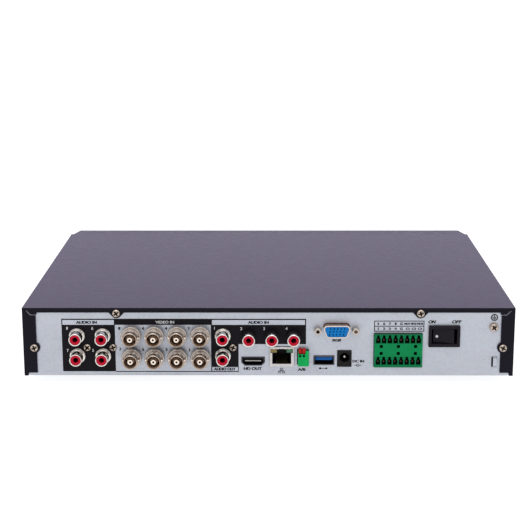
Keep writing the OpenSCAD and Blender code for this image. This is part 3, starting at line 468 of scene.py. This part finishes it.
def to_mesh(bm, name):
    """Turns a bmesh in the rear panel's coordinates into a mesh in the row frame, and frees it."""
    bm.transform(TO_ROW)
    bmesh.ops.recalc_face_normals(bm, faces=bm.faces)
    mesh = bpy.data.meshes.new(name)
    bm.to_mesh(mesh)
    bm.free()
    return mesh


def add_plate(bm, outline, low, high):
    """A flat closed plate with the outline [(u, h), ...], from one level out of the panel to another."""
    bottom = [bm.verts.new((u, h, low)) for u, h in outline]
    top = [bm.verts.new((u, h, high)) for u, h in outline]
    n = len(outline)
    bm.faces.new(top)
    bm.faces.new(bottom[::-1])
    for i in range(n):
        bm.faces.new((bottom[i], bottom[(i + 1) % n], top[(i + 1) % n], top[i]))


def rectangle(u0, h0, u1, h1):
    return [(u0, h0), (u1, h0), (u1, h1), (u0, h1)]


def add_lathe(bm, profile, centre, segments=80, second=None):
    """Turns the closed profile [(radius, level), ...] round an axis that points out of the panel at (u, h).

    From the profile's point number `second` on, the faces take the piece's second material.
    """
    rings = []
    for k in range(segments):
        turn = 2 * math.pi * k / segments
        c, s = math.cos(turn), math.sin(turn)
        rings.append([bm.verts.new((centre[0] + r * c, centre[1] + r * s, level)) for r, level in profile])
    n = len(profile)
    for k in range(segments):
        this, following = rings[k], rings[(k + 1) % segments]
        for i in range(n):
            j = (i + 1) % n
            face = bm.faces.new((this[i], following[i], following[j], this[j]))
            if second is not None and i >= second:
                face.material_index = 1


def add_box(bm, low, high):
    """A box between two corners [u, h, out]."""
    u0, h0, o0 = low
    u1, h1, o1 = high
    add_plate(bm, rectangle(u0, h0, u1, h1), o0, o1)


def arc(centre, r, start, end, steps):
    """Points (u, h) on a circle from one angle to another, in degrees."""
    return [(centre[0] + r * math.cos(math.radians(start + (end - start) * i / steps)),
             centre[1] + r * math.sin(math.radians(start + (end - start) * i / steps))) for i in range(steps + 1)]


def add_stroke(bm, points, width, low, high):
    """A printed line of the given width through [(u, h), ...]."""
    for (u0, h0), (u1, h1) in zip(points, points[1:]):
        length = math.hypot(u1 - u0, h1 - h0)
        du, dh = (u1 - u0) / length * width / 2, (h1 - h0) / length * width / 2
        add_plate(bm, [(u0 - du + dh, h0 - dh - du), (u1 + du + dh, h1 + dh - du), (u1 + du - dh, h1 + dh + du),
                       (u0 - du - dh, h0 - dh + du)], low, high)


LETTER_SPREAD = 0.025  # how far the ink runs outside a letter's outline, for letters of size 1
COPY_STEP = 0.003  # millimetres between the levels of a bold letter's copies, so that no two faces coincide


def add_text(bm, text, centre, height, level, width=None, slant=0.0, bold=0.0):
    """Printed letters of the given height, centred at (u, h). Their width may be stretched to a given one.

    Bold letters are printed three times, shifted by `bold` to either side.
    """
    curve = bpy.data.curves.new("letters", "FONT")
    curve.body = text
    curve.size, curve.shear, curve.offset = 1, slant, LETTER_SPREAD
    o = bpy.data.objects.new("letters", curve)
    bpy.context.scene.collection.objects.link(o)
    bpy.context.view_layer.update()
    flat = bpy.data.meshes.new_from_object(o.evaluated_get(bpy.context.evaluated_depsgraph_get()))
    xs, ys = [v.co.x for v in flat.vertices], [v.co.y for v in flat.vertices]
    k = height / (max(ys) - min(ys))
    kx = width / (max(xs) - min(xs)) if width else k
    mid = ((min(xs) + max(xs)) / 2, (min(ys) + max(ys)) / 2)
    letters = [((v.co.x - mid[0]) * kx, (v.co.y - mid[1]) * k) for v in flat.vertices]
    for i, shift in enumerate((-bold, 0, bold) if bold else (0,)):
        for v, (du, dh) in zip(flat.vertices, letters):
            v.co = (centre[0] + du + shift, centre[1] + dh, level + i * COPY_STEP)
        bm.from_mesh(flat)
    bpy.data.objects.remove(o)
    bpy.data.curves.remove(curve)
    bpy.data.meshes.remove(flat)


def soften(node, width):
    """Rounds a CAD node's sharp edges to the width in millimetres, and shades its curved faces smooth."""
    o = frame["nodes"][node]
    o.data.polygons.foreach_set("use_smooth", [True] * len(o.data.polygons))
    weld = o.modifiers.new("weld", "WELD")
    weld.merge_threshold = 2e-6
    flat = o.modifiers.new("flat", "DECIMATE")
    flat.decimate_type, flat.angle_limit = "DISSOLVE", math.radians(0.4)
    bevel = o.modifiers.new("bevel", "BEVEL")
    bevel.width, bevel.segments = width * MM, 2
    bevel.limit_method, bevel.angle_limit = "ANGLE", math.radians(32)
    normals = o.modifiers.new("normals", "WEIGHTED_NORMAL")
    normals.mode, normals.weight = "FACE_AREA", 100


# ---------- rear panel print ----------

# Levels in millimetres out of the panel: black areas, light areas on them, and letters on top.
INK, PAPER, LETTERS = (0.0, 0.02), (0.02, 0.035), 0.045
BOLD = 0.13
ALARM_PITCH = 3.81


def print_on_panel():
    """The printed areas, words and symbols of the rear panel, as thin pieces of three colours."""
    black, grey, white = bmesh.new(), bmesh.new(), bmesh.new()
    top, band = 39.15, 34.95
    for box in ((25.7, 2.75, 61.0, top), (61.0, band, 124.5, top), (124.5, 21.7, 187.45, top),
                (124.5, 2.35, 142.75, 21.7), (61.0, 2.35, 124.5, 2.95)):
        add_plate(black, rectangle(*box), *INK)
    for box in ((26.4, band + 0.05, 60.4, 38.3), (125.25, band + 0.05, 186.7, 38.3), (125.15, 3.0, 142.2, 5.75)):
        add_plate(grey, rectangle(*box), *PAPER)
    # Headings.
    add_text(black, "AUDIO IN", (42.3, 36.65), 2.0, LETTERS, 13.6, bold=BOLD)
    add_text(black, "AUDIO IN", (155.9, 36.65), 2.0, LETTERS, 13.6, bold=BOLD)
    add_text(black, "AUDIO OUT", (133.5, 4.35), 1.9, LETTERS, 14.2, bold=BOLD)
    add_text(white, "VIDEO IN", (94.1, 36.8), 1.9, LETTERS, 12.4)
    # Channel numbers.
    for text, u, h in (("8", 29.3, 32.6), ("6", 46.0, 32.5), ("7", 29.3, 17.2), ("5", 46.1, 17.3),
                       ("1", 126.9, 32.6), ("2", 144.6, 32.4), ("3", 159.7, 32.4), ("4", 174.5, 32.5)):
        add_text(white, text, (u, h), 1.95, LETTERS)
    for text, u, h in (("8", 63.9, 32.5), ("6", 79.8, 32.6), ("4", 94.8, 32.6), ("2", 109.9, 32.7),
                       ("7", 64.3, 18.1), ("5", 79.4, 17.9), ("3", 94.9, 17.9), ("1", 110.2, 17.7)):
        add_text(black, text, (u, h), 2.05, LETTERS, bold=BOLD)
    # Plain words for what each socket does.
    for text, u, h, height, width, slant in (
            ("HD OUT", 152.1, 4.75, 2.1, 11.8, 0), ("RGB", 207.7, 24.4, 1.9, 5.8, 0.25),
            ("A/B", 184.7, 4.1, 1.9, 5.0, 0), ("DC IN", 222.3, 9.9, 1.8, 7.6, 0), ("ON", 270.6, 37.1, 2.2, 4.9, 0.3),
            ("OFF", 286.9, 37.1, 2.2, 6.3, 0.3)):
        add_text(black, text, (u, h), height, LETTERS, width, slant, BOLD)
    # Three linked boxes under the network socket, and a line between a disc and a box under the data socket.
    for u, h in ((171.2, 4.4), (169.9, 2.2), (172.6, 2.2)):
        add_stroke(black, rectangle(u - 0.75, h - 0.55, u + 0.75, h + 0.55) + [(u - 0.75, h - 0.55)], 0.38, *INK)
    add_stroke(black, [(171.2, 3.85), (171.2, 3.3)], 0.38, *INK)
    add_stroke(black, [(169.9, 2.75), (169.9, 3.3), (172.6, 3.3), (172.6, 2.75)], 0.38, *INK)
    add_stroke(black, [(196.9, 4.9), (200.9, 4.9)], 0.4, *INK)
    add_plate(black, arc((196.9, 4.9), 0.75, 0, 345, 23), *INK)
    add_plate(black, rectangle(200.5, 4.3, 201.7, 5.5), *INK)
    # Polarity of the power inlet: a bar, a ring round a dot, and a bar.
    add_stroke(black, [(219.6, 7.1), (220.7, 7.1)], 0.4, *INK)
    add_stroke(black, [(223.1, 7.1), (224.2, 7.1)], 0.4, *INK)
    add_stroke(black, arc((221.9, 7.1), 0.85, 0, 360, 16), 0.35, *INK)
    add_plate(black, arc((221.9, 7.1), 0.3, 0, 330, 11), *INK)
    # Table above the alarm terminals.
    for h in (30.7, 34.1, 37.6):
        add_stroke(black, [(232.6, h), (265.2, h)], 0.55, *INK)
    for u in (232.6, 265.2):
        add_stroke(black, [(u, 30.7), (u, 37.6)], 0.55, *INK)
    for i, (upper, lower) in enumerate(zip("5678G", "1234G")):
        add_text(black, upper, (235.1 + i * ALARM_PITCH, 35.8), 1.75, LETTERS, bold=BOLD)
        add_text(black, lower, (235.1 + i * ALARM_PITCH, 32.4), 1.75, LETTERS, bold=BOLD)
    add_text(black, "NO1 NO2 NO3", (258.4, 35.8), 1.5, LETTERS, 12.2, bold=BOLD)
    add_text(black, "C1  C2  C3", (258.6, 32.4), 1.5, LETTERS, 10.4, bold=BOLD)
    # Earth symbol over its screw.
    add_stroke(black, arc((311.5, 40.1), 2.0, 0, 360, 32), 0.7, *INK)
    add_stroke(black, [(311.5, 41.4), (311.5, 40.2)], 0.6, *INK)
    for half, h in ((1.2, 40.2), (0.8, 39.5), (0.35, 38.9)):
        add_stroke(black, [(311.5 - half, h), (311.5 + half, h)], 0.45, *INK)
    add_piece("print_black", to_mesh(black, "print_black"), PRINT_BLACK)
    add_piece("print_grey", to_mesh(grey, "print_grey"), PRINT_GREY)
    add_piece("print_white", to_mesh(white, "print_white"), PRINT_WHITE)


# ---------- turned and fastened parts ----------

BNC_PLACES = [(71.8 + i * 15.24, h) for i in range(4) for h in (12.8, 27.94)]
BNC_LUG_RADIUS, BNC_LUG_LEVEL = 5.05, 8.4  # where the middle of a bayonet lug is
RCA_STACKS = [(u, h) for u in (35.75, 52.8, 132.35) for h in (13.55, 27.5)]
RCA_ROW = [(149.6, 27.0), (164.8, 27.0), (179.1, 27.0)]


def video_jacks():
    """Bayonet jacks: ribbed neck, flange with a grooved rim, barrel with two lugs, and a stepped insulator."""
    bm = bmesh.new()
    profile = [(2.45, -6), (5.0, -6), (5.0, -1.0), (5.2, -1.0), (5.2, 0.5)]
    for i in range(4):
        profile += [(4.95, 0.7 + i * 0.65), (5.2, 1.02 + i * 0.65)]
    profile += [(5.2, 3.35), (6.3, 3.4), (6.62, 3.62), (6.62, 4.1), (6.45, 4.2), (6.45, 4.35), (6.62, 4.45),
                (6.62, 4.85), (6.4, 5.1), (5.95, 5.12), (5.9, 5.0), (5.72, 5.0), (5.66, 5.14), (5.6, 5.75),
                (5.45, 5.9), (4.95, 5.95), (4.83, 6.1), (4.83, 6.9), (4.68, 7.0), (4.68, 7.2), (4.83, 7.3),
                (4.83, 12.3), (4.76, 12.55)]
    # From the bore on, the faces take the second material: painted shade inside the barrel.
    bore = [(4.55, 12.7), (4.2, 12.7), (4.05, 12.5), (4.05, 4.2), (3.3, 3.6), (3.3, 3.3), (2.45, 3.2)]
    for u, h in BNC_PLACES:
        add_lathe(bm, profile + bore, (u, h), 96, second=len(profile))
        for side in (-1, 1):
            start = len(bm.verts)
            bmesh.ops.create_cone(bm, segments=24, radius1=1.0, radius2=0.92, depth=1.3, cap_ends=True)
            bm.verts.ensure_lookup_table()
            sideways = Euler((0, side * math.pi / 2, 0)).to_matrix().to_4x4()
            place = Matrix.Translation((u + side * BNC_LUG_RADIUS, h, BNC_LUG_LEVEL)) @ sideways
            bmesh.ops.transform(bm, matrix=place, verts=bm.verts[start:])
    add_piece("video_jack_shells", to_mesh(bm, "video_jack_shells"), [FINISHES["nickel"], BORE_SHADE],
              smooth=28, replaces=["bnc_shells"])
    bm = bmesh.new()
    # The insulator's base takes the first material, painted shade; its nose takes the cream plastic.
    base = [(1.1, -6), (2.4, -6), (2.4, 8.8), (2.2, 9.0)]
    nose = [(1.75, 9.0), (1.68, 9.2), (1.68, 12.1), (1.55, 12.25), (1.2, 12.3), (0.85, 12.2), (0.75, 12.0),
            (0.75, 8.9), (1.1, 8.8)]
    for centre in BNC_PLACES:
        add_lathe(bm, base + nose, centre, 64, second=len(base))
    add_piece("video_jack_insulators", to_mesh(bm, "video_jack_insulators"), [BORE_SHADE, FINISHES["cream_plastic"]],
              smooth=28, replaces=["bnc_insulators"])


def audio_jacks():
    """Phono jacks: chrome sleeves, those of the stacks with a stepped base ring."""
    bm = bmesh.new()
    mouth = [(4.15, 10.45), (4.05, 10.72), (3.9, 10.8), (3.6, 10.8), (3.42, 10.6), (3.4, 10.3)]
    stack = [(3.4, -6), (4.15, -6), (4.15, -1.0), (5.28, -1.0), (5.28, 0.85), (5.1, 1.1), (4.92, 1.14),
             (4.88, 1.3), (4.88, 2.3), (4.75, 2.45), (4.2, 2.62), (4.15, 2.8)] + mouth
    single = [(3.4, -6), (3.9, -6), (3.9, 6.0), (4.15, 6.1)] + mouth
    for centre in RCA_STACKS:
        add_lathe(bm, stack, centre, 80)
    for centre in RCA_ROW:
        add_lathe(bm, single, centre, 80)
    chrome = turned("audio_chrome", (0.70, 0.665, 0.63), 0.09, strength=0.12)
    add_piece("audio_jack_sleeves", to_mesh(bm, "audio_jack_sleeves"), chrome, smooth=28,
              replaces=["rca_shells"])


def screw_mesh(radius, turn, shank, height=1.9):
    """A pan-head screw with a tapered cross recess, its axis along +Z, with the head's seat at 0."""
    bm = bmesh.new()
    dome = [(0.0001, -shank), (1.1, -shank), (1.4, 0.3 - shank), (1.4, 0), (radius - 0.1, 0), (radius, 0.12)]
    for i in range(7):
        rise = math.radians(90 * i / 6)
        dome.append((radius - 1.0 + math.cos(rise), height - 1.25 + 1.05 * math.sin(rise)))
    dome += [(0.9, height - 0.04), (0.0001, height)]
    add_lathe(bm, dome, (0, 0), 64)
    bmesh.ops.remove_doubles(bm, verts=bm.verts, dist=0.001)
    bmesh.ops.recalc_face_normals(bm, faces=bm.faces)
    head = bpy.data.meshes.new("head")
    bm.to_mesh(head)
    bm.free()
    # Two crossed blades that narrow towards their tips cut the recess.
    cutter = bmesh.new()
    for quarter in (0, 90):
        start = len(cutter.verts)
        for z, half, w in ((height + 0.4, 2.0, 0.55), (height - 0.3, 1.8, 0.55), (height - 1.6, 0.8, 0.40)):
            for x, y in ((-half, -w), (half, -w), (half, w), (-half, w)):
                cutter.verts.new((x, y, z))
        cutter.verts.ensure_lookup_table()
        v = cutter.verts[start:]
        cutter.faces.new(v[0:4])
        cutter.faces.new(v[8:12][::-1])
        for level in (0, 4):
            for i in range(4):
                j = (i + 1) % 4
                cutter.faces.new((v[level + i], v[level + 4 + i], v[level + 4 + j], v[level + j]))
        bmesh.ops.rotate(cutter, verts=v, cent=(0, 0, 0), matrix=Matrix.Rotation(math.radians(quarter), 3, "Z"))
    bmesh.ops.recalc_face_normals(cutter, faces=cutter.faces)
    # The faces the blades cut take the second material, the painted shade of the recess.
    for face in cutter.faces:
        face.material_index = 1
    cut = bpy.data.meshes.new("cut")
    cutter.to_mesh(cut)
    cutter.free()
    solid, tool = bpy.data.objects.new("head", head), bpy.data.objects.new("cut", cut)
    for o in (solid, tool):
        bpy.context.scene.collection.objects.link(o)
        o.data.materials.append(FINISHES["screw_nickel"])
        o.data.materials.append(RECESS_SHADE)
    boolean = solid.modifiers.new("cut", "BOOLEAN")
    boolean.operation, boolean.solver, boolean.object, boolean.use_self = "DIFFERENCE", "EXACT", tool, True
    bpy.context.view_layer.update()
    made = bpy.data.meshes.new_from_object(solid.evaluated_get(bpy.context.evaluated_depsgraph_get()))
    made.transform(Matrix.Rotation(math.radians(turn), 4, "Z"))
    for o in (solid, tool):
        bpy.data.objects.remove(o)
    return made


# Each screw is (u, h, level of its seat, head's radius, turn in degrees).
COVER_SCREWS = [(7.3, 19.5, 1.0, 2.6, 20), (317.7, 19.5, 1.0, 2.6, 64), (62.25, 43.2, 1.0, 2.6, 33),
                (262.75, 43.2, 1.0, 2.6, 12)]
EARTH = (311.3, 33.55)
PANEL_SCREWS = [(42.45, 19.5, 0, 2.45, 50), (59.5, 19.5, 0, 2.45, 15), (139.05, 19.5, 0, 2.45, 72),
                (*EARTH, 0.8, 2.75, 38)]


def add_screws(bm, places, shank):
    for u, h, seat, radius, turn in places:
        mesh = screw_mesh(radius, turn, shank)
        mesh.transform(Matrix.Translation((u, h, seat)))
        bm.from_mesh(mesh)
        bpy.data.meshes.remove(mesh)


def add_toothed_washer(bm, centre, teeth=16, rim=3.0, half=0.22):
    """The washer under the earth screw. half is half a tooth's width."""
    add_lathe(bm, [(1.6, 0.05), (2.95, 0.05), (rim, 0.4), (2.9, 0.8), (1.6, 0.8)], centre, 64)
    for i in range(teeth):
        turn = 2 * math.pi * i / teeth
        u, h = centre[0] + rim * math.cos(turn), centre[1] + rim * math.sin(turn)
        add_box(bm, (u - half, h - half, 0.05), (u + half, h + half, 0.6))


def fasteners():
    """Cross-recess screws of the cover and of the panel, each turned its own way."""
    # The second material, for the cross recesses, is painted shade.
    finish = [FINISHES["screw_nickel"], RECESS_SHADE]
    bm = bmesh.new()
    add_screws(bm, COVER_SCREWS, 6)
    add_piece("cover_screw_heads", to_mesh(bm, "cover_screw_heads"), finish, smooth=30,
              replaces=["cover_screws"])
    bm = bmesh.new()
    add_screws(bm, PANEL_SCREWS, 7)
    add_toothed_washer(bm, EARTH)
    add_piece("panel_screw_heads", to_mesh(bm, "panel_screw_heads"), finish, smooth=30,
              replaces=["panel_screws"])


def socket_details():
    """Spring fingers round the network socket's mouth, and the edge of the display socket's contact row."""
    bm = bmesh.new()
    for i in range(6):
        h = 8.9 + i * 1.22
        for side in (-1, 1):
            u = sorted((NETWORK_U + side * 6.95, NETWORK_U + side * 6.4))
            add_box(bm, (u[0], h, 0.62), (u[1], h + 0.62, 0.95))
    for u in (-5.2, -2.6, 2.6, 5.2):
        add_box(bm, (NETWORK_U + u - 0.45, 18.55, 0.66), (NETWORK_U + u + 0.45, 19.0, 0.97))
    add_box(bm, (DISPLAY_U - 5.3, 9.85, -0.7), (DISPLAY_U + 5.3, 10.12, -0.45))
    add_piece("network_shield_fingers", to_mesh(bm, "network_shield_fingers"), FINISHES["contact_tin"])


ROCKER_PIVOT = (278.75, 27.45, -3)
ROCKER_REST = -12  # degrees that the rocker leans at rest


def rocker_mark():
    """A raised white dot on the rocker's free end, which turns with it."""
    bm = bmesh.new()
    add_lathe(bm, [(0.0001, 3.2), (0.9, 3.2), (0.9, 3.52), (0.8, 3.59), (0.0001, 3.61)], (-4.2, -0.5), 40)
    bmesh.ops.remove_doubles(bm, verts=bm.verts, dist=0.0005)
    bm.transform(Matrix.Rotation(math.radians(ROCKER_REST), 4, "Y"))
    bm.transform(Matrix.Translation(ROCKER_PIVOT))
    add_piece("rocker_mark", to_mesh(bm, "rocker_mark"), PRINT_WHITE, body="rocker", smooth=40)


# ---------- build ----------

# How wide the rounding of each CAD node's edges is, in millimetres.
EDGE_WIDTHS = {
    "top_cover": 0.3, "front_bezel": 0.5, "rubber_feet": 0.5, "rca_insulators": 0.08, "rca_housings": 0.15,
    "vga_shell": 0.12, "vga_insulator": 0.06, "vga_jackscrews": 0.15, "hdmi_shell": 0.06, "hdmi_tongue": 0.06,
    "lan_shield": 0.1, "lan_insert": 0.06, "lan_lights": 0.12, "rs485_body": 0.12, "rs485_lever_a": 0.12,
    "rs485_lever_b": 0.12, "usb_shell": 0.08, "usb_tongue": 0.06, "dc_jack_body": 0.2, "dc_jack_pin": 0.05,
    "alarm_header": 0.08, "switch_housing": 0.35, "switch_rocker": 0.35, "ir_window": 0.15,
    "front_usb_shell": 0.08, "alarm_header_pins": 0.06,
}

for part in frame["record"]["subparts"]:
    o = frame["nodes"][part["node"]]
    o.data.materials.clear()
    o.data.materials.append(NODE_FINISHES_AND_SHADE.get(part["node"], FINISHES[part["material_slot"]]))
for node, width in EDGE_WIDTHS.items():
    soften(node, width)

add_camera()
add_world()
add_floor()
add_lights()
print_on_panel()
video_jacks()
audio_jacks()
fasteners()
socket_details()
rocker_mark()

scene = bpy.context.scene
scene.view_settings.view_transform = "Standard"
scene.view_settings.look = "None"
